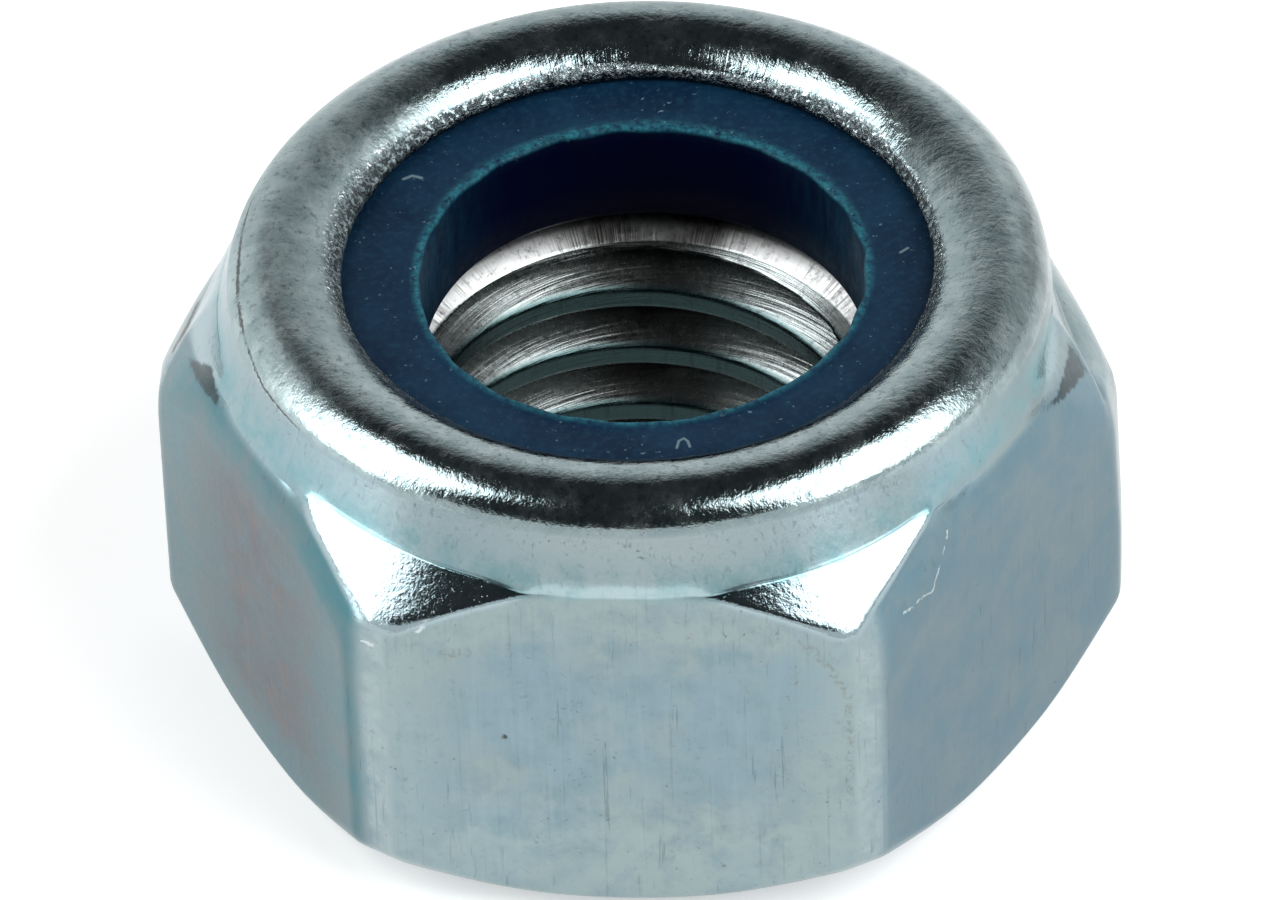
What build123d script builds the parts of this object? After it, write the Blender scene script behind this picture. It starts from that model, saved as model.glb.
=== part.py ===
from build123d import *
import math
import os

# Hexagon lock nut M10 x 1.5 with a nylon insert, millimetres
# The origin is the centre of the bearing face and +Z runs along the thread towards the collar

# Hexagon
nut_height = 10.0
across_flats = 16.9
corner_trim = 0.23
corner_round = 0.45
rim_relief = 0.06

# Bearing face and the forged chamfer around it
bearing_inset = 0.66
bearing_chamfer_angle = 30.0
bearing_chamfer_round = 1.6

# Shoulder and collar
shoulder_angle = 49.0
shoulder_round = 1.2
collar_height = 1.566
collar_inset = 0.06
collar_draft = 24.0
collar_foot_round = 0.4

# Edge of the collar rolled over the insert
crest_round = 1.03
lip_opening_d = 11.66
lip_drop = 0.55
lip_edge = 0.26
lip_inner_bevel = 0.5

# Thread and the countersinks at its ends
thread_d = 10.0
thread_pitch = 1.5
entry_countersink_d = 10.5
inner_countersink_d = 9.96
countersink_half_angle = 60.0

# Nylon insert
insert_d = 13.7
insert_height = 2.76
insert_bore_d = 8.77
insert_bore_bevel = 0.1
insert_foot_bevel = 0.6
insert_clearance = 0.02

# Radii that follow from the sizes above, the core being that of the basic metric profile
flat_r = across_flats / 2
corner_r = across_flats / math.sqrt(3) - corner_trim
rim_r = corner_r + rim_relief
bearing_r = flat_r - bearing_inset
collar_r = flat_r - collar_inset
core_r = thread_d / 2 - 0.54127 * thread_pitch
seat_r = insert_d / 2 + insert_clearance

# Slopes
shoulder_slope = math.tan(math.radians(shoulder_angle))
draft_angle = math.radians(collar_draft)
chamfer_slope = math.tan(math.radians(bearing_chamfer_angle))
countersink_slope = 1 / math.tan(math.radians(countersink_half_angle))

# Heights that follow from the sizes above
foot_z = nut_height - collar_height
shoulder_z = foot_z - (rim_r - collar_r) * shoulder_slope
chamfer_z = (rim_r - bearing_r) * chamfer_slope
crest_start_z = nut_height - crest_round * (1 - math.sin(draft_angle))
lip_z = nut_height - lip_drop
insert_top_z = lip_z - lip_edge
seat_z = insert_top_z - insert_height
entry_z = (entry_countersink_d / 2 - core_r) * countersink_slope
inner_z = seat_z - (inner_countersink_d / 2 - core_r) * countersink_slope

# The collar leans inwards from its foot and runs on into the rolled crest without a break
crest_start_r = collar_r - (crest_start_z - foot_z) * math.tan(draft_angle)
crest_r = crest_start_r - crest_round * math.cos(draft_angle)


def turned(outline):
    """Solid turned about Z from a closed outline drawn in radius and height."""
    return revolve(Plane.XZ * make_face(outline), Axis.Z)


# Outside of the blank from the bearing face to the collar, rounded where the metal flows in the die
outer_outline = FilletPolyline(
    (bearing_r, 0),
    (rim_r, chamfer_z),
    (rim_r, shoulder_z),
    (collar_r, foot_z),
    (crest_start_r, crest_start_z),
    radius=[bearing_chamfer_round, shoulder_round, collar_foot_round],
)

# Collar edge rolled inwards: over the crest, down the slope and to the edge of the lip
crest_arc = RadiusArc((crest_start_r, crest_start_z), (crest_r, nut_height), -crest_round)
lip_slope = TangentArc((crest_r, nut_height), (lip_opening_d / 2, lip_z), tangent=(-1, 0))
lip_face = Line((lip_opening_d / 2, lip_z), (lip_opening_d / 2, insert_top_z))

# Underside of the lip, counterbore, countersunk thread core and bearing face
bore_outline = Polyline(
    (lip_opening_d / 2, insert_top_z),
    (seat_r - lip_inner_bevel, insert_top_z),
    (seat_r, insert_top_z - lip_inner_bevel),
    (seat_r, seat_z),
    (inner_countersink_d / 2, seat_z),
    (core_r, inner_z),
    (core_r, entry_z),
    (entry_countersink_d / 2, 0),
    (bearing_r, 0),
)
blank = turned(outer_outline + crest_arc + lip_slope + lip_face + bore_outline)

# Hexagonal die, its corners blunt because the metal never fills them
die_section = RegularPolygon(flat_r, 6, major_radius=False) & Circle(corner_r)
die_section = fillet(die_section.vertices(), corner_round)
die = extrude(die_section, nut_height)
nut_body = blank & die

# Nylon ring that fills the counterbore up to the underside of the lip, its bore bevelled at the seat
insert_outline = Polyline(
    (insert_bore_d / 2, seat_z + insert_foot_bevel),
    (insert_bore_d / 2 + insert_foot_bevel, seat_z),
    (insert_d / 2, seat_z),
    (insert_d / 2, insert_top_z - lip_inner_bevel),
    (insert_d / 2 - lip_inner_bevel, insert_top_z),
    (insert_bore_d / 2 + insert_bore_bevel, insert_top_z),
    (insert_bore_d / 2, insert_top_z - insert_bore_bevel),
    close=True,
)
nylon_insert = turned(insert_outline)

os.makedirs("parts", exist_ok=True)
export_step(nut_body, "parts/nut_body.step")
export_step(nylon_insert, "parts/nylon_insert.step")
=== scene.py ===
import math

import bpy
import numpy as np
from mathutils import Matrix, Vector


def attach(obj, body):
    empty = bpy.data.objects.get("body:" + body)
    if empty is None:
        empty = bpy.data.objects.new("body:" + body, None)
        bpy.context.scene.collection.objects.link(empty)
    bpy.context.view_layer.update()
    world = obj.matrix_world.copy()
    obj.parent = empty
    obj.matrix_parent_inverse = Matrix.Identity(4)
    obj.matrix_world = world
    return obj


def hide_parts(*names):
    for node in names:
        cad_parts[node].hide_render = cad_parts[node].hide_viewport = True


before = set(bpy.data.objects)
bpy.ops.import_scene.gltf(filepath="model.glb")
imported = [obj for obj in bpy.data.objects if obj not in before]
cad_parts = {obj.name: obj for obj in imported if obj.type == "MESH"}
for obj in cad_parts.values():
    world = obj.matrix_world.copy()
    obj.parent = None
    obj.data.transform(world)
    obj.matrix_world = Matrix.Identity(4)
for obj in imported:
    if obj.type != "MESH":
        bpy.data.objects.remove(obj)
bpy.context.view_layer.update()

MM = 0.001

# Sizes in millimetres
FLAT_R = 8.45
BEARING_R = 7.79
CHAMFER_SLOPE = math.tan(math.radians(30))
# Beyond the flats the bearing chamfer rises more steeply towards the corners
CORNER_CHAMFER_SLOPE = 0.75
CONE_R, CONE_Z = 8.55, 8.25
SHOULDER_SLOPE = math.tan(math.radians(49))
COLLAR_R = 8.03
CREST_ROUND = 1.03
CREST_R = COLLAR_R - CREST_ROUND
TOP = 10.0
LIP_R, LIP_Z, LIP_UNDER = 5.83, 9.45, 9.19
SEAT_R, SEAT_Z = 6.87, 6.43
CORE_R, MAJOR_R, PITCH = 4.188, 5.0, 1.5
CREST_Z0 = 4.91
SINK_R, ENTRY_R = 4.98, 5.25
# The thread runs out just under the countersink, so that a plain conical band is left above it
BAND_R, BAND_LOW, BAND_HIGH = 4.45, 6.00, 6.13
HELIX_TOP = 5.97
SINK_SLOPE = math.tan(math.radians(30))
RING_BORE_R = 4.385
# The ring's bore is a little off centre and narrower on the left
BORE_SHIFT, BORE_SQUEEZE, FOOT_BEVEL = 0.05, 0.10, 0.6

# The forging is not quite even: how far each flat rolls in at its top edge, over what height, how far
# it stands out, and how full each corner is
FLAT_ROLL = {30: 0.62, 90: 0.30, 150: 0.42, 210: 0.20, 270: 0.03, 330: 0.18}
ROLL_REACH = {30: 1.8, 90: 1.4, 150: 1.4, 210: 1.1, 270: 1.1, 330: 1.1}
FLAT_OUT = {30: 0.0, 90: 0.0, 150: 0.06, 210: 0.10, 270: 0.0, 330: -0.04}
CORNER = {0: 9.45, 60: 9.50, 120: 9.50, 180: 9.52, 240: 9.52, 300: 9.50}
# Draft of the collar in degrees, at angles round the nut
DRAFT_AT = [0, 60, 120, 180, 205, 232, 262, 310, 328, 352, 360]
DRAFT = [9, 13, 14, 18, 20, 25, 27, 27, 20, 10, 9]
# Near the middle of each flat the collar runs down until it is flush with the flat
FOOT_Z, FOOT_FLUSH, FOOT_END = 8.24, 10.5, 19.0
SHOULDER_DIP, EDGE_ROLL, EDGE_REACH = 0.07, 0.09, 0.5

# Small helpers


def smin(a, b, k):
    h = np.clip(0.5 + 0.5 * (b - a) / k, 0, 1)
    return b * (1 - h) + a * h - k * h * (1 - h)


def smax(a, b, k):
    return -smin(-a, -b, k)


def wrap(a):
    return (a + 180) % 360 - 180


def ramp(x, a, b):
    t = np.clip((x - a) / (b - a), 0, 1)
    return t * t * (3 - 2 * t)


def bump(a, centre, width):
    t = np.clip(np.abs(wrap(a - centre)) / width, 0, 1)
    return 0.5 + 0.5 * np.cos(np.pi * t)


def wave(deg, seed, terms=9, lowest=2):
    """A smooth uneven line round the nut, about -1 to 1, the same on every run."""
    rng = np.random.default_rng(seed)
    out = np.zeros_like(deg, dtype=float)
    for k in range(terms):
        n = lowest + k
        out = out + rng.normal() / (k + 1.5) * np.cos(np.radians(n * deg) + rng.uniform(0, 6.28))
    return out / 1.2


# Shape of the body


def edge_height(radius):
    """Height at which the conical shoulder reaches a radius."""
    return CONE_Z - SHOULDER_SLOPE * (radius - CONE_R)


def hexagon(deg, z):
    """Radius of the die: six flats that roll in at their top edges, and six blunt corners."""
    r = np.full(np.broadcast(deg, z).shape, 50.0)
    for phi, roll in FLAT_ROLL.items():
        d = np.radians(wrap(deg - phi))
        c = np.maximum(np.cos(d), 0.3)
        below = edge_height(FLAT_R / c) - z
        away = FLAT_R + FLAT_OUT[phi] - roll * np.clip(1 - below / ROLL_REACH[phi], 0, 1.2) ** 2
        off = np.abs(wrap(deg - phi))
        edge_roll = EDGE_ROLL * ramp(off, 4, 10) * (1 - ramp(off, FOOT_FLUSH, 18))
        away = away - edge_roll * np.clip(1 - (FOOT_Z - z) / EDGE_REACH, 0, 1) ** 2
        r = smin(r, np.where(np.cos(d) > 0.3, away / c, 50.0), 0.05)
    corner = np.zeros(r.shape)
    for phi, radius in CORNER.items():
        corner = np.where(np.abs(wrap(deg - phi)) <= 30.001, radius, corner)
    corner = corner - 0.05 * ramp(z, 5.5, 7.4) - 0.03 * ramp(-z, -3.5, -1.0) * bump(deg, 0, 90)
    corner = corner - 0.14 * bump(deg, 0, 25) * ramp(z, 1.5, 7.0)
    return smin(r, corner, 0.06)


def draft_of(deg):
    near = [np.interp(np.mod(deg + shift, 360), DRAFT_AT, DRAFT) for shift in range(-15, 16, 5)]
    return np.radians(np.mean(near, axis=0))


def collar_radius(deg, z):
    a = draft_of(deg)
    return CREST_R + CREST_ROUND * np.cos(a) + (TOP - CREST_ROUND + CREST_ROUND * np.sin(a) - z) * np.tan(a)


def crease_height(deg):
    """Height of the crease between the conical shoulder and the collar."""
    draft = draft_of(deg)
    return (collar_radius(deg, 0) - edge_height(0) / SHOULDER_SLOPE) / (np.tan(draft) - 1 / SHOULDER_SLOPE)


def foot_height(deg):
    """Height at which the collar ends: its crease, or lower where it runs into a flat."""
    off_middle = np.abs(deg % 60 - 30)
    crease = crease_height(deg)
    return crease - (crease - FOOT_Z) * (1 - ramp(off_middle, FOOT_FLUSH, FOOT_END))


def collar_surface(deg, z):
    """Radius of the collar with its spread foot, and inside the body below it."""
    foot = foot_height(deg)
    above = np.maximum(z, foot)
    radius = smin(collar_radius(deg, above), hexagon(deg, np.minimum(above, FOOT_Z)), 0.03)
    return radius - 0.7 * np.maximum(foot - z, 0)


def chamfer_radius(z):
    """Radius of the bearing chamfer at a height."""
    corner_part = FLAT_R + (z - (FLAT_R - BEARING_R) * CHAMFER_SLOPE) / CORNER_CHAMFER_SLOPE
    return smin(BEARING_R + z / CHAMFER_SLOPE, corner_part, 0.06)


def outer_radius(deg, z):
    corner = bump(deg % 60, 0, 22) + bump(deg % 60, 60, 22)
    tip = bump(deg % 60, 0, 9) + bump(deg % 60, 60, 9)
    side = bump(deg, 0, 40) + bump(deg, 180, 40)
    dip = SHOULDER_DIP * (1 - ramp(np.abs(deg % 60 - 30), FOOT_FLUSH, 16))
    cone = CONE_R + (CONE_Z - z) / SHOULDER_SLOPE - dip
    front = bump(deg, 270, 50)
    body = smin(hexagon(deg, z), chamfer_radius(z), 0.10 + 0.06 * front + 0.40 * corner)
    body = smin(body, cone, 0.04 + 0.22 * tip + (0.8 * side + 0.7 * bump(deg, 0, 45)) * corner)
    blend = 0.002 + 0.028 * ramp(np.abs(deg % 60 - 30), 8, 14)
    return smax(body, collar_surface(deg, z), blend)


def thread_radius(deg, z):
    """Bore with the right hand thread and a countersink at each end."""
    phase = (z - CREST_Z0 - PITCH * (deg - 90) / 360) / PITCH
    p = np.abs((phase + 0.5) % 1 - 0.5)
    groove = CORE_R + (p - 0.15) / (0.4375 - 0.15) * (MAJOR_R - CORE_R)
    groove = smin(smax(groove, CORE_R + 0 * z, 0.06), MAJOR_R + 0 * z, 0.08)
    groove = np.minimum(groove, MAJOR_R - (MAJOR_R - BAND_R) * ramp(z, BAND_LOW, BAND_HIGH))
    sink = CORE_R + (z - (SEAT_Z - (SINK_R - CORE_R) * SINK_SLOPE)) / SINK_SLOPE
    entry = CORE_R + ((ENTRY_R - CORE_R) * SINK_SLOPE - z) / SINK_SLOPE
    return smax(smax(groove, sink, 0.02), entry, 0.05)


PER_SIDE = 76
u = (np.arange(PER_SIDE) + 0.5) / PER_SIDE * 2 - 1
side_angles = 30 * (0.35 * np.sin(np.pi / 2 * u) + 0.65 * u)
TURN = np.concatenate([30 + 60 * k + side_angles for k in range(6)])
COLS = len(TURN)


def warped(knots, counts):
    """Heights for each column between knots that follow the edges, as rows by columns."""
    rows = []
    for (a, b), n in zip(zip(knots, knots[1:]), counts):
        t = np.arange(n)[:, None] / n
        rows.append(a[None, :] * (1 - t) + b[None, :] * t)
    return np.concatenate(rows)


def body_rows():
    """Radius and height of the rows from the bearing face over the collar to the seat."""
    one = np.ones(COLS)
    die = hexagon(TURN, 4.0 * one)
    draft = draft_of(TURN)
    z_low = (FLAT_R - BEARING_R) * CHAMFER_SLOPE + np.maximum(die - FLAT_R, 0) * CORNER_CHAMFER_SLOPE
    z_end = TOP - CREST_ROUND + CREST_ROUND * np.sin(draft)
    # crease where the shoulder cone meets the collar, and edge where it meets the flats
    z_crease = foot_height(TURN)
    z_edge = np.minimum(edge_height(die), z_crease - 0.24)
    above = 0.5 * (z_crease - z_edge)
    knots = [0.012 * one, 0.55 * z_low, 1.5 * z_low, z_edge - 0.75, z_edge + above, z_crease - 0.04, z_crease + 0.06, z_end]
    z = warped(knots, [3, 9, 12, 20, 5, 7, 8])
    deg = np.broadcast_to(TURN, z.shape)
    r = outer_radius(deg, z)
    face_r = np.array([5.32, 6.4, 7.55, 7.75])[:, None] * one
    rows_r = [face_r, r]
    rows_z = [0 * face_r, z]
    # rolled edge: arc to the crest, then the slope down to the lip
    uneven = wave(TURN, 5)
    lip_r = LIP_R + 0.035 * wave(TURN, 8, 14, 2) + 0.012 * wave(TURN, 12, 50, 40)
    t = draft + (math.pi / 2 - draft) * (np.arange(0, 15) / 14)[:, None]
    rows_r.append(CREST_R + CREST_ROUND * np.cos(t))
    rows_z.append(TOP - CREST_ROUND + CREST_ROUND * np.sin(t) * (1 - 0.015 * np.abs(uneven) * np.sin(t)))
    dx, dz = CREST_R - lip_r, rows_z[-1][-1] - LIP_Z
    rad = (dx * dx + dz * dz) / (2 * dz)
    s = (np.arange(1, 15) / 14)[:, None]
    a = s * np.arcsin(dx / rad)
    rows_r.append(CREST_R - rad * np.sin(a))
    rows_z.append(LIP_Z + dz - rad * (1 - np.cos(a)))
    # rounded lip edge, its underside, counterbore wall and seat
    e = np.radians(np.array([20, 45, 70, 90, 110, 140, 180]))[:, None]
    mid, half = (LIP_Z + LIP_UNDER) / 2, (LIP_Z - LIP_UNDER) / 2
    rows_r.append(lip_r - 0.05 * np.sin(e))
    rows_z.append(mid + half * np.cos(e) * one)
    rows_r.append(np.array([6.35, SEAT_R, SEAT_R, 5.8])[:, None] * one)
    rows_z.append(np.array([LIP_UNDER, 8.71, SEAT_Z, SEAT_Z])[:, None] * one)
    return np.concatenate(rows_r), np.concatenate(rows_z)


def add_mesh(name, verts, faces, attributes=None):
    mesh = bpy.data.meshes.new(name)
    mesh.from_pydata([tuple(v) for v in np.asarray(verts) * MM], [], faces)
    mesh.validate()
    for key, values in (attributes or {}).items():
        layer = mesh.attributes.new(key, "FLOAT", "POINT")
        layer.data.foreach_set("value", np.asarray(values, dtype=np.float32))
    mesh.polygons.foreach_set("use_smooth", [True] * len(mesh.polygons))
    mesh.update()
    obj = bpy.data.objects.new(name, mesh)
    bpy.context.scene.collection.objects.link(obj)
    return obj


def ring_faces(a, b, cols):
    """Quads between two rows of vertices that start at a and b."""
    j = np.arange(cols)
    k = (j + 1) % cols
    return np.stack([a + j, a + k, b + k, b + j], 1).tolist()


N_TURN = 24
BORE_GAP = 0.35 * PITCH / N_TURN


def make_body():
    rr, zz = body_rows()
    rows = len(rr)
    rad = np.radians(TURN)
    verts = [np.stack([rr[i] * np.cos(rad), rr[i] * np.sin(rad), zz[i]], 1) for i in range(rows)]
    count = rows * COLS
    faces = []
    for i in range(rows - 1):
        faces += ring_faces(i * COLS, (i + 1) * COLS, COLS)
    # bore: rows that climb with the thread, cut off at the seat and at the bearing face
    band_z = [SEAT_Z, 6.36, 6.29, 6.24, 6.20, 6.175, 6.15, 6.12, 6.09, 6.06, 6.03, 6.0]
    for i, z in enumerate(band_z):
        r = thread_radius(TURN, z + 0 * rad) if i else SINK_R + 0 * rad
        verts.append(np.stack([r * np.cos(rad), r * np.sin(rad), z + 0 * rad], 1))
        faces += ring_faces((rows - 1 + i) * COLS, (rows + i) * COLS, COLS)
    count += len(band_z) * COLS
    top_row, bottom_row = count - COLS, count
    verts.append(np.stack([ENTRY_R * np.cos(rad), ENTRY_R * np.sin(rad), 0 * rad], 1))
    faces += ring_faces(bottom_row, 0, COLS)
    count += COLS
    step = PITCH / N_TURN
    lists = []
    for j, deg in enumerate(TURN):
        base = CREST_Z0 + PITCH * (deg - 90) / 360
        low = math.ceil((BORE_GAP - base) / step)
        high = math.floor((HELIX_TOP - base) / step)
        k = np.arange(low, high + 1)
        z = base + k * step
        r = thread_radius(np.full(z.shape, deg), z)
        verts.append(np.stack([r * math.cos(rad[j]), r * math.sin(rad[j]), z], 1))
        lists.append((low, high, count - low))
        count += len(k)
    for j in range(COLS):
        low_a, high_a, off_a = lists[j]
        n = (j + 1) % COLS
        low_b, high_b, off_b = lists[n]
        if n == 0:
            # one turn further on the rows are one pitch higher
            low_b, high_b, off_b = low_b - N_TURN, high_b - N_TURN, off_b + N_TURN
        ia, ib = low_a, low_b
        va, vb = bottom_row + j, bottom_row + n
        while True:
            na = off_a + ia if ia <= high_a else top_row + j
            nb = off_b + ib if ib <= high_b else top_row + n
            a_done, b_done = va == top_row + j, vb == top_row + n
            if a_done and b_done:
                break
            if not a_done and not b_done and (ia == ib or (ia > high_a and ib > high_b)):
                faces.append((va, na, nb, vb))
                va, vb, ia, ib = na, nb, ia + 1, ib + 1
            elif b_done or (not a_done and (ia if ia <= high_a else 10 ** 6) < (ib if ib <= high_b else 10 ** 6)):
                faces.append((va, na, vb))
                va, ia = na, ia + 1
            else:
                faces.append((va, nb, vb))
                vb, ib = nb, ib + 1
    verts = np.concatenate(verts)
    r = np.hypot(verts[:, 0], verts[:, 1])
    z = verts[:, 2]
    deg = np.degrees(np.arctan2(verts[:, 1], verts[:, 0]))
    collar_end = TOP - CREST_ROUND + CREST_ROUND * np.sin(draft_of(deg))
    crest = ramp(z, collar_end - 0.05, collar_end + 0.02) * (r > 5.7)
    bore = 1.0 * (r < 5.3) * (z < 6.16)
    # painted shade on the flat crests of the thread
    tip = bore * (1 - ramp(r, CORE_R + 0.04, CORE_R + 0.09))
    band = 1.0 * (r < 5.1) * (z >= 6.16) * (z < 6.5)
    # painted shade on the back wall of the bore and the middle of the band
    bore_back_shade = np.maximum(bore * bump(deg, 92, 34), band * ramp(bump(deg, 91, 36), 0.15, 0.6))
    lip = (1 - ramp(r, 6.1, 6.9)) * (z > 9.0)
    cone = CONE_R + (CONE_Z - z) / SHOULDER_SLOPE
    apart = np.abs(r - collar_surface(deg, z))
    shoulder = (1 - ramp(np.abs(r - cone), 0.03, 0.12)) * ramp(z, 6.6, 7.0) * ramp(apart, 0.02, 0.06) * (r > 7.9)
    foot = (1 - ramp(np.abs(r - cone), 0.02, 0.3)) * (1 - ramp(apart, 0.02, 0.25)) * (r > 7.9) * (z > 8.0)
    side = (r > 8.2) * (1 - ramp(shoulder, 0.2, 0.8)) * ramp(-z, -8.3, -8.0)
    off_corner = np.abs((deg + 30) % 60 - 30)
    corner = side * (1 - ramp(off_corner, 0.8, 2.8))
    inner = ramp(off_corner, 5, 12) * ramp(z, 0.8, 2.0) * ramp(edge_height(r) - z, 0.5, 1.3)
    pink = side * bump(deg, 212, 24) ** 0.7 * inner
    left = side * (1 - ramp(np.abs(wrap(deg - 210)), 26, 29.5))
    right = side * (1 - ramp(np.abs(wrap(deg - 330)), 26, 29.5))
    layers = {"crest": crest, "bore": bore, "shoulder": shoulder, "foot": foot, "corner": corner}
    collar = (1 - crest) * ramp(z, foot_height(deg) - 0.06, foot_height(deg) + 0.02) * (r > 7.5)
    layers.update({"pink": pink, "left": left, "right": right, "band": band, "lip": lip, "collar": collar})
    # dull stretches of the rolled edge, the fold along its left side and the dark rim over the nylon, and painted shade
    # on the right of the rolled edge and the collar
    matt = crest * np.maximum(bump(deg, 176, 52) ** 0.6, 0.75 * bump(deg, 95, 60) * (r > 7.1))
    crest_right_shade = np.maximum(crest, collar) * bump(deg, 0, 42) * ramp(r, 7.2, 7.6)
    fold_z = np.interp(deg % 360, [170, 183, 189, 195, 202, 208, 216], [9.69, 9.69, 9.64, 9.57, 9.48, 9.36, 9.35])
    on_fold = bump(deg, 193, 25) ** 0.3 * (r > 7.4)
    fold = np.where(on_fold > 0.02, np.clip(z - fold_z, -0.3, 0.3) / np.maximum(on_fold, 0.1), 0.3)
    smear = crest * (1 - ramp(np.abs(r - 7.22), 0.05, 0.22)) * bump(deg, 205, 38) ** 0.5 * (z > 9.6)
    rim = (z > 9.2) * (1 - ramp(r, 5.86, 6.00 + 0.24 * bump(deg, 180, 70) + 0.06 * wave(deg, 44, 30, 6)))
    layers.update({"tip": tip, "bore_back_shade": bore_back_shade, "matt": matt, "crest_right_shade": crest_right_shade, "fold": fold, "smear": smear, "rim": rim})
    # painted reflection of the white floor, strongest at the front of the collar
    layers["collar_front_reflection"] = collar * bump(deg, 274, 42)
    # painted shade: dark wedges of the shoulder beside the right and the left corner
    share = wrap(deg - 341) / 15
    shoulder_shade_wedge = np.minimum(np.minimum(z - 8.05 + 0.65 * share, 8.07 + 0.13 * share - z), 0.6 * (1 - share))
    share = wrap(deg - 187) / 13
    above = 7.8 + 0.62 * np.clip(share / 0.54, 0, 1) - 0.3 * np.clip((share - 0.54) / 0.46, 0, 1)
    left_shoulder_shade_wedge = np.minimum(np.minimum(z - 7.72 - 0.3 * share, above - z), 0.6 * (1 - share))
    left_shoulder_shade_wedge = np.minimum(left_shoulder_shade_wedge, 2 * share + 0.05)
    layers["shoulder_shade_wedge"] = np.clip(np.maximum(shoulder_shade_wedge, left_shoulder_shade_wedge) / 0.1, -0.2, 1) * (r > 7.9)
    return add_mesh("nut_forging", verts, faces, layers)


def make_ring():
    cols = 360
    deg = np.arange(cols) * 360 / cols
    rad = np.radians(deg)
    one = np.ones(cols)
    burr = 0.5 + 0.5 * wave(deg, 31, 40, 5)
    rough = 0.02 * wave(deg, 77, 60, 20)
    bore = RING_BORE_R + BORE_SHIFT * np.cos(rad) - BORE_SQUEEZE * bump(deg, 180, 60)
    outline = [
        (bore + FOOT_BEVEL, 6.45 * one),
        (bore + 0.01 * wave(deg, 3, 8), 6.45 + FOOT_BEVEL * one),
        (bore + 0.01 * wave(deg, 3, 8), 7.9 * one),
        (bore + 0.01 * wave(deg, 4, 12), 8.85 * one),
        (bore + 0.005 + rough, 9.04 * one),
        (bore + 0.01 + rough, 9.11 + 0.02 * burr),
        (bore + 0.03 + rough, 9.145 + 0.03 * burr),
        (bore + 0.08 + rough, 9.16 + 0.035 * burr),
        (bore + 0.15 + rough, 9.16 + 0.025 * burr),
        (bore + 0.22 + 0.5 * rough, 9.155 + 0.01 * burr),
        (bore + 0.32, 9.155 * one),
        (4.95 * one, 9.165 * one),
        (5.3 * one, 9.175 * one),
        (5.6 * one, 9.172 * one),
        (5.75 * one, 9.16 * one),
        (5.87 * one, 9.145 * one),
        (6.3 * one, 9.14 * one),
        (6.83 * one, 8.67 * one),
        (6.83 * one, 6.47 * one),
        (6.8 * one, 6.44 * one),
        (5.1 * one, 6.44 * one),
    ]
    verts = np.concatenate([np.stack([r * np.cos(rad), r * np.sin(rad), z], 1) for r, z in outline])
    faces = []
    n = len(outline)
    for i in range(n):
        faces += ring_faces(i * cols, ((i + 1) % n) * cols, cols)
    # outline runs up the bore and out over the top, so the quads are turned round to face outwards
    faces = [f[::-1] for f in faces]
    r = np.hypot(verts[:, 0], verts[:, 1])
    z = verts[:, 2]
    off_bore = r - np.tile(bore, n)
    reach = 0.22 + 0.16 * np.tile(bump(deg, 90, 100), n)
    edge = (1 - ramp(off_bore, 0.3 * reach, reach)) * ramp(z, 9.08, 9.13)
    wall = (off_bore < 0.7) * (1 - ramp(z, 9.02, 9.12))
    turn = np.tile(deg, n)
    flank = wall * np.maximum(bump(turn, 180, 55), bump(turn, 5, 60))
    return add_mesh("nylon_ring", verts, faces, {"edge": edge, "wall": 1.0 * wall, "flank": flank})


# Materials


class Nodes:
    """A short way to write a node tree."""

    def __init__(self, tree):
        self.tree = tree
        tree.nodes.clear()

    def add(self, kind, inputs=None, **settings):
        node = self.tree.nodes.new(kind)
        for key, value in settings.items():
            setattr(node, key, value)
        for key, value in (inputs or {}).items():
            socket = node.inputs[key]
            if isinstance(value, bpy.types.NodeSocket):
                self.tree.links.new(value, socket)
            else:
                socket.default_value = value
        return node

    def math(self, op, a, b=0.0, c=0.0, clamp=False):
        node = self.add("ShaderNodeMath", {0: a, 1: b, 2: c}, operation=op, use_clamp=clamp)
        return node.outputs[0]

    def fit(self, value, low, high, to_low=0.0, to_high=1.0):
        node = self.add("ShaderNodeMapRange", {"Value": value, "From Min": low, "From Max": high, "To Min": to_low, "To Max": to_high})
        return node.outputs["Result"]

    def mix(self, factor, a, b):
        node = self.add("ShaderNodeMix", data_type="RGBA")
        for socket, value in ((node.inputs["Factor"], factor), (node.inputs[6], a), (node.inputs[7], b)):
            if isinstance(value, bpy.types.NodeSocket):
                self.tree.links.new(value, socket)
            else:
                socket.default_value = value
        return node.outputs[2]

    def noise(self, vector, scale, detail=2.0, rough=0.5, distort=0.0):
        node = self.add("ShaderNodeTexNoise", {"Vector": vector, "Scale": scale, "Detail": detail, "Roughness": rough, "Distortion": distort})
        return node.outputs["Fac"]

    def scaled(self, vector, scale):
        node = self.add("ShaderNodeMapping", {"Vector": vector, "Scale": scale})
        return node.outputs["Vector"]

    def attribute(self, name):
        return self.add("ShaderNodeAttribute", attribute_name=name).outputs["Fac"]

    def vector(self, op, a, b=(0, 0, 0), scale=1.0, out="Vector"):
        inputs = {0: a, "Scale": scale} if op == "SCALE" else {0: a, 1: b}
        return self.add("ShaderNodeVectorMath", inputs, operation=op).outputs[out]

    def stroke(self, place, a, b, width):
        """Mask that is 1 on the line from a to b and falls to 0 at its width."""
        a, b = Vector(a), Vector(b)
        along = b - a
        from_a = self.vector("SUBTRACT", place, tuple(a))
        share = self.vector("DOT_PRODUCT", from_a, tuple(along / max(along.length_squared, 1e-9)), out="Value")
        nearest = self.vector("SCALE", tuple(along), scale=self.math("MULTIPLY", share, 1.0, clamp=True))
        apart = self.vector("DISTANCE", from_a, nearest, out="Value")
        return self.fit(apart, width, 0.4 * width)

    def strokes(self, place, lines):
        """The strongest of several strokes, each given as its points and its width."""
        mask = None
        for width, *points in lines:
            for a, b in zip(points, points[1:] or points):
                one = self.stroke(place, a, b, width)
                mask = one if mask is None else self.math("MAXIMUM", mask, one)
        return mask


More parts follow.
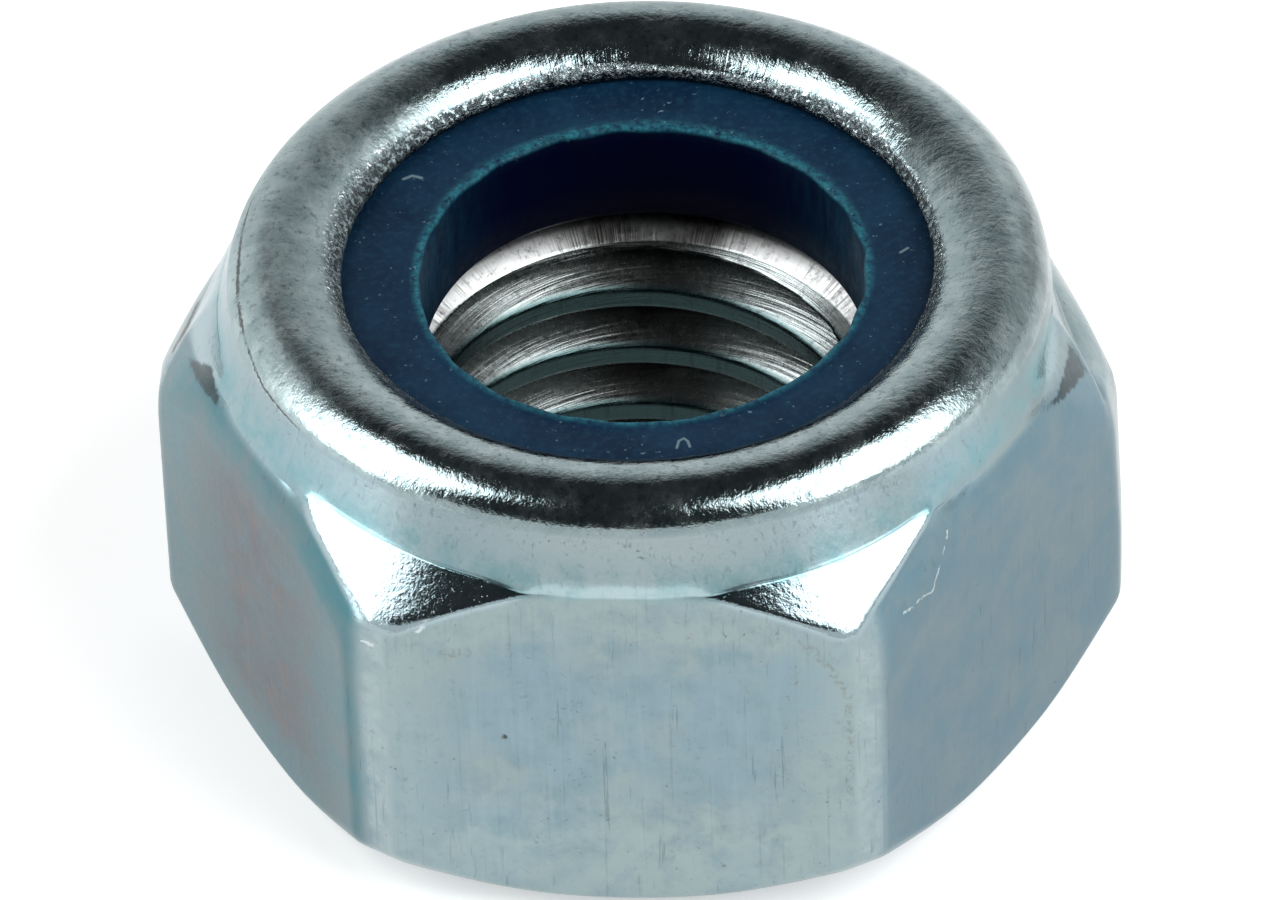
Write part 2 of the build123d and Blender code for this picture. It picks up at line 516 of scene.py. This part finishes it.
# Marks in millimetres: width, then the points of the line. First the dark ones, then the bright ones
DARK_MARKS = [
    (0.10, (-8.76, 0.85, 7.47), (-8.94, 0.44, 7.25), (-9.20, 0.10, 6.91)),
    (0.08, (-2.21, -8.45, 4.63)),
]
FAINT_MARKS = [
    (0.11, (3.5, -8.45, 7.2), (4.05, -8.45, 6.5), (4.4, -8.42, 5.7), (4.38, -8.42, 3.1)),
    (0.20, (-3.3, -8.45, 6.73), (-3.0, -8.45, 6.80)),
    (0.16, (1.4, -8.45, 7.26)),
]
BRIGHT_MARKS = [
    (0.06, (-4.6, -5.8, 9.92), (-4.2, -5.5, 10.0)),
    (0.07, (-3.8, -8.43, 7.30), (-3.5, -8.31, 7.71)),
    # painted highlight under the tip of the left front shoulder
    (0.05, (-4.95, -8.09, 6.76), (-4.7, -8.23, 6.76)),
    (0.04, (6.2, -5.86, 7.8), (5.94, -6.52, 6.84), (5.43, -7.31, 6.98)),
]
# Loose fibres on the ring
FIBRES = [
    (0.05, (-4.74, 2.74, 9.17), (-4.58, 2.84, 9.17), (-4.4, 2.78, 9.17)),
    (0.035, (1.02, -5.16, 9.17), (1.05, -4.95, 9.17), (1.14, -4.87, 9.17), (1.22, -4.95, 9.17), (1.27, -5.12, 9.17)),
    (0.04, (5.1, 0.7, 9.17), (5.24, 0.83, 9.17)),
]


def new_material(name):
    material = bpy.data.materials.new(name)
    material.use_nodes = True
    return material, Nodes(material.node_tree)


def zinc_material():
    material, n = new_material("zinc_plate")
    place = n.add("ShaderNodeTexCoord").outputs["Object"]
    mm = n.scaled(place, (1000, 1000, 1000))
    drawn = n.scaled(place, (4500, 4500, 330))
    crest, bore, shoulder, foot = (n.attribute(k) for k in ("crest", "bore", "shoulder", "foot"))
    corner, pink, left, right = (n.attribute(k) for k in ("corner", "pink", "left", "right"))
    band, lip, collar = (n.attribute(k) for k in ("band", "lip", "collar"))
    xyz = n.add("ShaderNodeSeparateXYZ", {0: mm}).outputs
    angle = n.math("ARCTAN2", xyz["Y"], xyz["X"])
    radius = n.math("SQRT", n.math("ADD", n.math("MULTIPLY", xyz["X"], xyz["X"]), n.math("MULTIPLY", xyz["Y"], xyz["Y"])))
    polar = n.add("ShaderNodeCombineXYZ", {"X": n.math("MULTIPLY", angle, 5.0), "Y": n.math("MULTIPLY", radius, 0.12)}).outputs[0]

    cloud = n.noise(mm, 0.45, 3.0, 0.6)
    patch = n.noise(mm, 1.7, 5.0, 0.62, 0.15)
    streak = n.noise(drawn, 1.0, 3.0, 0.6)
    grain = n.noise(mm, 9.0, 3.0, 0.65)
    fine = n.noise(mm, 24.0, 2.0, 0.6)

    ragged = n.add("ShaderNodeTexNoise", {"Vector": mm, "Scale": 3.0, "Detail": 3.0, "Roughness": 0.7}).outputs["Color"]
    wander = n.vector("ADD", mm, n.vector("SCALE", n.vector("SUBTRACT", ragged, (0.5, 0.5, 0.5)), scale=0.28))
    dark_marks = n.strokes(wander, DARK_MARKS)
    faint_marks = n.math("MULTIPLY", n.strokes(wander, FAINT_MARKS), n.fit(grain, 0.46, 0.62))
    bright_marks = n.strokes(wander, BRIGHT_MARKS)
    matt, crest_right_shade, fold, smear, rim = (n.attribute(k) for k in ("matt", "crest_right_shade", "fold", "smear", "rim"))
    tip, bore_back_shade, collar_front_reflection = (n.attribute(k) for k in ("tip", "bore_back_shade", "collar_front_reflection"))
    fold_line = n.fit(n.math("ABSOLUTE", n.math("ADD", fold, n.fit(grain, 0.3, 0.7, -0.025, 0.025))), 0.05, 0.02)
    fold_line = n.math("MULTIPLY", fold_line, n.fit(patch, 0.38, 0.5, 0.3, 1.0))

    # the front flat: a frame that is paler than its middle, and a painted highlight as a pale brow over a faint arc
    in_front = n.fit(xyz["Y"], -8.2, -8.35)
    off_side = n.fit(n.math("ADD", n.math("ABSOLUTE", xyz["X"]), n.fit(patch, 0.3, 0.7, -0.6, 0.6)), 3.1, 4.0)
    off_foot = n.fit(n.math("ADD", xyz["Z"], n.fit(patch, 0.3, 0.7, -0.7, 0.7)), 3.2, 1.6)
    arc = n.math("ADD", xyz["Z"], n.math("MULTIPLY", n.math("MULTIPLY", xyz["X"], xyz["X"]), 0.03))
    brow = n.fit(n.math("ADD", arc, n.fit(grain, 0.3, 0.7, -0.12, 0.12)), 7.08, 7.22)
    frame_pale = n.math("MULTIPLY", in_front, n.math("MAXIMUM", n.math("MAXIMUM", off_side, off_foot), n.math("MULTIPLY", brow, 0.6)))
    ridge = n.math("MULTIPLY", in_front, n.fit(n.math("ABSOLUTE", n.math("SUBTRACT", arc, 7.14)), 0.10, 0.02))

    bright = n.math("ADD", shoulder, crest, clamp=True)
    colour = n.mix(n.fit(cloud, 0.4, 0.62), (0.205, 0.29, 0.33, 1), (0.245, 0.31, 0.315, 1))
    colour = n.mix(n.fit(patch, 0.45, 0.70, 0.0, 0.85), colour, (0.175, 0.255, 0.288, 1))
    colour = n.mix(n.fit(streak, 0.50, 0.80, 0.0, 0.35), colour, (0.29, 0.38, 0.40, 1))
    # paler frame of the front flat, with the painted highlight of its brow
    colour = n.mix(n.math("MULTIPLY", frame_pale, n.fit(patch, 0.35, 0.6, 0.6, 0.35)), colour, (0.285, 0.36, 0.36, 1))
    side_cloud = n.noise(mm, 0.8, 4.0, 0.65, 0.4)
    left_colour = n.mix(n.fit(side_cloud, 0.42, 0.6), (0.055, 0.165, 0.195, 1), (0.095, 0.165, 0.185, 1))
    colour = n.mix(n.math("MULTIPLY", left, 0.92), colour, left_colour)
    colour = n.mix(n.math("MULTIPLY", pink, n.fit(side_cloud, 0.3, 0.6, 0.45, 0.95)), colour, (0.067, 0.074, 0.093, 1))
    rust = n.math("MULTIPLY", n.math("MULTIPLY", pink, n.fit(patch, 0.5, 0.62)), n.fit(grain, 0.42, 0.58, 0.2, 0.8))
    colour = n.mix(rust, colour, (0.15, 0.10, 0.095, 1))
    right_colour = n.mix(n.fit(side_cloud, 0.4, 0.62), (0.10, 0.195, 0.245, 1), (0.148, 0.215, 0.245, 1))
    colour = n.mix(n.math("MULTIPLY", right, 0.85), colour, right_colour)
    # painted highlight along the rounded corners
    colour = n.mix(n.math("MULTIPLY", corner, n.fit(patch, 0.38, 0.58, 0.1, 0.75)), colour, (0.33, 0.40, 0.41, 1))
    # painted reflection of the white floor: the collar paler all round and palest at the front
    colour = n.mix(n.math("MULTIPLY", collar, 0.55), colour, (0.30, 0.39, 0.42, 1))
    colour = n.mix(n.math("MULTIPLY", collar_front_reflection, 0.8), colour, (0.44, 0.53, 0.55, 1))
    colour = n.mix(shoulder, colour, (0.31, 0.40, 0.43, 1))
    crest_colour = n.mix(n.fit(patch, 0.42, 0.62), (0.265, 0.345, 0.36, 1), (0.365, 0.445, 0.455, 1))
    colour = n.mix(crest, colour, crest_colour)
    # painted shade on the right of the rolled edge and the collar
    colour = n.mix(n.math("MULTIPLY", crest_right_shade, n.fit(patch, 0.4, 0.6, 0.95, 0.6)), colour, (0.13, 0.165, 0.17, 1))
    colour = n.mix(n.math("MULTIPLY", bore, 0.8), colour, (0.38, 0.41, 0.40, 1))
    colour = n.mix(band, colour, (0.88, 0.90, 0.90, 1))
    # painted shade at the back of the bore
    colour = n.mix(n.math("MULTIPLY", bore_back_shade, n.fit(patch, 0.4, 0.6, 0.65, 0.92)), colour, (0.085, 0.082, 0.078, 1))
    # painted shade on the flat crests of the thread
    colour = n.mix(tip, colour, (0.062, 0.11, 0.113, 1))
    colour = n.mix(n.math("MULTIPLY", smear, n.fit(grain, 0.4, 0.6, 0.1, 0.6)), colour, (0.09, 0.08, 0.08, 1))
    # painted shade along the crease of the fold, which the bump also sinks
    colour = n.mix(n.math("MULTIPLY", fold_line, 0.85), colour, (0.05, 0.05, 0.05, 1))
    colour = n.mix(n.math("MULTIPLY", rim, n.fit(grain, 0.45, 0.6, 0.95, 0.3)), colour, (0.03, 0.035, 0.04, 1))
    colour = n.mix(n.math("MULTIPLY", dark_marks, 0.9), colour, (0.05, 0.045, 0.04, 1))
    colour = n.mix(n.math("MULTIPLY", faint_marks, 0.5), colour, (0.17, 0.16, 0.14, 1))
    # pale marks; the one under the left front shoulder is a painted highlight
    colour = n.mix(n.math("MULTIPLY", bright_marks, 0.65), colour, (0.60, 0.66, 0.66, 1))
    # painted shade on the shoulder wedges, streaked by the drawing lines
    wedge_shade_mask = n.math("ADD", n.attribute("shoulder_shade_wedge"), n.fit(n.noise(drawn, 1.3, 3.0, 0.8), 0.3, 0.7, -0.5, 0.5))
    colour = n.mix(n.fit(wedge_shade_mask, 0.1, 0.7, 0.0, 0.88), colour, (0.035, 0.05, 0.055, 1))
    glint = n.math("MULTIPLY", n.fit(n.noise(mm, 11.0, 2.0, 0.7), 0.58, 0.63), n.fit(rim, 0.02, 0.3))
    glint = n.math("MULTIPLY", glint, n.fit(rim, 0.98, 0.7))
    colour = n.mix(glint, colour, (0.75, 0.80, 0.80, 1))
    flats = n.math("SUBTRACT", 1.0, n.math("ADD", bright, n.math("ADD", bore, band), clamp=True), clamp=True)
    lines = n.fit(n.noise(n.scaled(place, (9000, 9000, 160)), 1.0, 2.0, 0.6), 0.60, 0.72, 0.0, 0.4)
    flecks = n.fit(n.noise(mm, 8.0, 3.0, 0.7, 0.5), 0.60, 0.68, 0.0, 0.4)
    worn = n.math("MULTIPLY", n.math("MAXIMUM", lines, flecks), n.fit(patch, 0.4, 0.6, 0.35, 1.0))
    colour = n.mix(n.math("MULTIPLY", worn, flats), colour, (0.13, 0.17, 0.18, 1))
    speck = n.fit(n.noise(mm, 5.5, 4.0, 0.7), 0.66, 0.72)
    colour = n.mix(n.math("MULTIPLY", speck, 0.6), colour, (0.07, 0.075, 0.08, 1))
    colour = n.mix(n.math("MULTIPLY", foot, n.fit(patch, 0.4, 0.6, 0.2, 0.6)), colour, (0.13, 0.31, 0.34, 1))

    roughness = n.fit(grain, 0.3, 0.7, 0.19, 0.27)
    roughness = n.math("SUBTRACT", roughness, n.math("MULTIPLY", bright, 0.13))
    roughness = n.math("ADD", roughness, n.math("MULTIPLY", crest, n.fit(patch, 0.4, 0.65, 0.01, 0.09)))
    roughness = n.math("ADD", roughness, n.math("MULTIPLY", matt, 0.34))
    roughness = n.math("ADD", roughness, n.math("ADD", n.math("MULTIPLY", band, 0.17), n.math("MULTIPLY", bore, 0.03)))

    # orange peel on the rolled crest and the shoulder, drawing lines and grain on the flats
    height = n.math("ADD", n.math("MULTIPLY", streak, 0.15), n.math("MULTIPLY", grain, 0.12))
    spark = n.fit(n.noise(mm, 14.0, 2.0, 0.7), 0.68, 0.76, 0.0, 0.3)
    pebble = n.noise(mm, 5.5, 3.0, 0.7)
    peel = n.math("ADD", n.math("MULTIPLY", grain, 0.30), n.math("MULTIPLY", fine, 0.10))
    peel = n.math("ADD", peel, n.math("ADD", n.math("MULTIPLY", pebble, 0.35), n.math("MULTIPLY", spark, shoulder)))
    peel = n.math("ADD", peel, n.math("MULTIPLY", n.math("ADD", pebble, n.noise(mm, 2.6, 3.0, 0.6)), n.math("MULTIPLY", crest, 0.5)))
    height = n.math("ADD", height, n.math("MULTIPLY", peel, bright))
    pits = n.math("ADD", n.math("MULTIPLY", fold_line, 1.6), n.math("MULTIPLY", rim, n.fit(grain, 0.4, 0.6, 0.0, 2.0)))
    height = n.math("SUBTRACT", height, pits)
    height = n.math("ADD", height, n.math("MULTIPLY", ridge, 0.2))
    # turning lines of the tap, close rings up the bore
    rings = n.noise(n.scaled(place, (250, 250, 20000)), 1.0, 3.0, 0.7)
    spokes = n.noise(n.scaled(polar, (6, 1, 1)), 1.0, 3.0, 0.7)
    height = n.math("ADD", height, n.math("MULTIPLY", spokes, n.math("ADD", n.math("MULTIPLY", band, 2.2), n.math("MULTIPLY", lip, 0.9))))
    height = n.math("ADD", height, n.math("MULTIPLY", n.math("MULTIPLY", rings, bore), 1.2))
    bumpy = n.add("ShaderNodeBump", {"Strength": 0.6, "Distance": 0.00002, "Height": height})

    shader = n.add("ShaderNodeBsdfPrincipled", {"Base Color": colour, "Metallic": 1.0, "Roughness": roughness, "Normal": bumpy.outputs["Normal"]})
    n.add("ShaderNodeOutputMaterial", {"Surface": shader.outputs["BSDF"]})
    return material


def nylon_material():
    material, n = new_material("blue_nylon")
    place = n.add("ShaderNodeTexCoord").outputs["Object"]
    mm = n.scaled(place, (1000, 1000, 1000))
    edge, wall = n.attribute("edge"), n.attribute("wall")
    cloud = n.noise(mm, 0.8, 4.0, 0.6)
    grain = n.noise(mm, 6.0, 3.0, 0.6)
    colour = n.mix(n.fit(cloud, 0.35, 0.65), (0.001, 0.012, 0.033, 1), (0.003, 0.023, 0.053, 1))
    scuff = n.math("MULTIPLY", edge, n.fit(n.noise(mm, 6.5, 5.0, 0.75), 0.36, 0.62))
    colour = n.mix(scuff, colour, (0.018, 0.135, 0.175, 1))
    # painted shade: the bore wall of the ring near black
    colour = n.mix(wall, colour, (0.0, 0.001, 0.012, 1))
    upright = n.noise(n.scaled(place, (5000, 5000, 900)), 1.0, 3.0, 0.7)
    colour = n.mix(n.math("MULTIPLY", n.attribute("flank"), n.fit(upright, 0.35, 0.65, 0.3, 1.0)), colour, (0.006, 0.034, 0.062, 1))
    mottle = n.math("MULTIPLY", n.fit(grain, 0.48, 0.66, 0.0, 0.45), n.math("SUBTRACT", 1.0, wall))
    colour = n.mix(mottle, colour, (0.009, 0.040, 0.075, 1))
    dust = n.fit(n.noise(mm, 8.0, 2.0, 0.6), 0.69, 0.74, 0.0, 0.8)
    colour = n.mix(n.math("MULTIPLY", dust, n.math("SUBTRACT", 1.0, wall)), colour, (0.10, 0.17, 0.20, 1))
    fibres = n.strokes(mm, FIBRES)
    colour = n.mix(n.math("MULTIPLY", fibres, 0.55), colour, (0.20, 0.30, 0.33, 1))
    height = n.math("ADD", n.math("MULTIPLY", grain, 0.5), n.math("MULTIPLY", n.noise(mm, 20.0, 2.0), n.math("MULTIPLY", edge, 1.5)))
    bumpy = n.add("ShaderNodeBump", {"Strength": 0.35, "Distance": 0.00002, "Height": height})
    shader = n.add("ShaderNodeBsdfPrincipled", {"Base Color": colour, "Specular IOR Level": n.fit(wall, 0.0, 1.0, 0.12, 0.03), "Roughness": n.fit(grain, 0.3, 0.7, 0.42, 0.55), "Normal": bumpy.outputs["Normal"]})
    n.add("ShaderNodeOutputMaterial", {"Surface": shader.outputs["BSDF"]})
    return material


def floor_material():
    material, n = new_material("white_floor")
    path = n.add("ShaderNodeLightPath")
    seen = n.math("ADD", n.math("ADD", path.outputs["Is Camera Ray"], path.outputs["Is Glossy Ray"]), path.outputs["Is Transmission Ray"], clamp=True)
    matt = n.add("ShaderNodeBsdfDiffuse", {"Color": (0.82, 0.82, 0.82, 1)})
    lift = n.add("ShaderNodeEmission", {"Color": (1, 1, 1, 1), "Strength": n.math("MULTIPLY", seen, 0.36)})
    both = n.add("ShaderNodeAddShader", {0: matt.outputs[0], 1: lift.outputs[0]})
    n.add("ShaderNodeOutputMaterial", {"Surface": both.outputs[0]})
    return material


body = make_body()
ring = make_ring()
body.data.materials.append(zinc_material())
ring.data.materials.append(nylon_material())
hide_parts("nut_body")
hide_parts("nylon_insert")
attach(body, "root")
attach(ring, "root")

# Floor
floor_mesh = bpy.data.meshes.new("floor")
half = 1.5
floor_mesh.from_pydata([(-half, -half, 0), (half, -half, 0), (half, half, 0), (-half, half, 0)], [], [(0, 1, 2, 3)])
floor = bpy.data.objects.new("floor", floor_mesh)
floor.location = (0, 0, -0.00002)
floor_mesh.materials.append(floor_material())
bpy.context.scene.collection.objects.link(floor)

# Light
world = bpy.data.worlds.new("studio")
bpy.context.scene.world = world
world.use_nodes = True
w = Nodes(world.node_tree)
direction = w.add("ShaderNodeTexCoord").outputs["Generated"]
parts = w.add("ShaderNodeSeparateXYZ", {0: direction})
up_part, rear_part = parts.outputs["Z"], parts.outputs["Y"]
rear = w.fit(rear_part, 0.15, 0.5)
low = w.fit(up_part, 0.30, 0.36, 1.0, 0.0)
wall = w.fit(up_part, 0.40, 0.80, 1.0, 0.0)
pale = w.math("MAXIMUM", low, w.math("MULTIPLY", wall, rear))
sky = w.mix(pale, (0.04, 0.043, 0.045, 1), (1.0, 1.0, 1.0, 1))
w.add("ShaderNodeOutputWorld", {"Surface": w.add("ShaderNodeBackground", {"Color": sky, "Strength": 1.0}).outputs[0]})


def softbox(name, azimuth, elevation, distance, wide, high, radiance):
    """Area lamp facing the nut; azimuth runs from the rear towards the right."""
    a, e = math.radians(azimuth), math.radians(elevation)
    towards = Vector((math.sin(a) * math.cos(e), math.cos(a) * math.cos(e), math.sin(e)))
    light = bpy.data.lights.new(name, "AREA")
    light.shape = "RECTANGLE"
    light.size, light.size_y = wide, high
    light.energy = radiance * math.pi * wide * high
    lamp = bpy.data.objects.new(name, light)
    lamp.location = towards * distance
    lamp.rotation_euler = towards.to_track_quat("Z", "Y").to_euler()
    bpy.context.scene.collection.objects.link(lamp)
    return lamp


softbox("softbox_left", -102, 34, 0.3, 0.20, 0.33, 4.4)
softbox("softbox_right", 110, 40, 0.3, 0.265, 0.28, 4.4)

# Camera, from the fit to the outline and the bores
AZIMUTH, ELEVATION, ROLL = (math.radians(v) for v in (4.26, 41.08, -2.05))
TARGET = Vector((0, 0, 5.577 * MM))
DISTANCE = 223.76 * MM
FOCAL_PIXELS = 11376.0
back = Vector((math.sin(AZIMUTH) * math.cos(ELEVATION), -math.cos(AZIMUTH) * math.cos(ELEVATION), math.sin(ELEVATION)))
right = Vector((math.cos(AZIMUTH), math.sin(AZIMUTH), 0))
up = back.cross(right)
eye = TARGET + back * DISTANCE
# the photograph's frame is centred a little below and left of the target
turned_right = right * math.cos(ROLL) + up * math.sin(ROLL)
turned_up = up * math.cos(ROLL) - right * math.sin(ROLL)
aim = TARGET - turned_up * (38.5 / FOCAL_PIXELS * DISTANCE) - turned_right * (2.27 / FOCAL_PIXELS * DISTANCE)
axis = (eye - aim).normalized()
side = turned_up.cross(axis).normalized()
top = axis.cross(side)
camera_data = bpy.data.cameras.new("camera")
camera = bpy.data.objects.new("camera", camera_data)
camera_data.sensor_width = 36.0
camera_data.lens = FOCAL_PIXELS * 36.0 / 1280
camera_data.clip_start = 0.01
camera_data.clip_end = 5.0
camera.matrix_world = Matrix((side, top, axis)).transposed().to_4x4()
camera.location = eye
bpy.context.scene.collection.objects.link(camera)
bpy.context.scene.camera = camera
bpy.context.scene.view_settings.view_transform = "Standard"
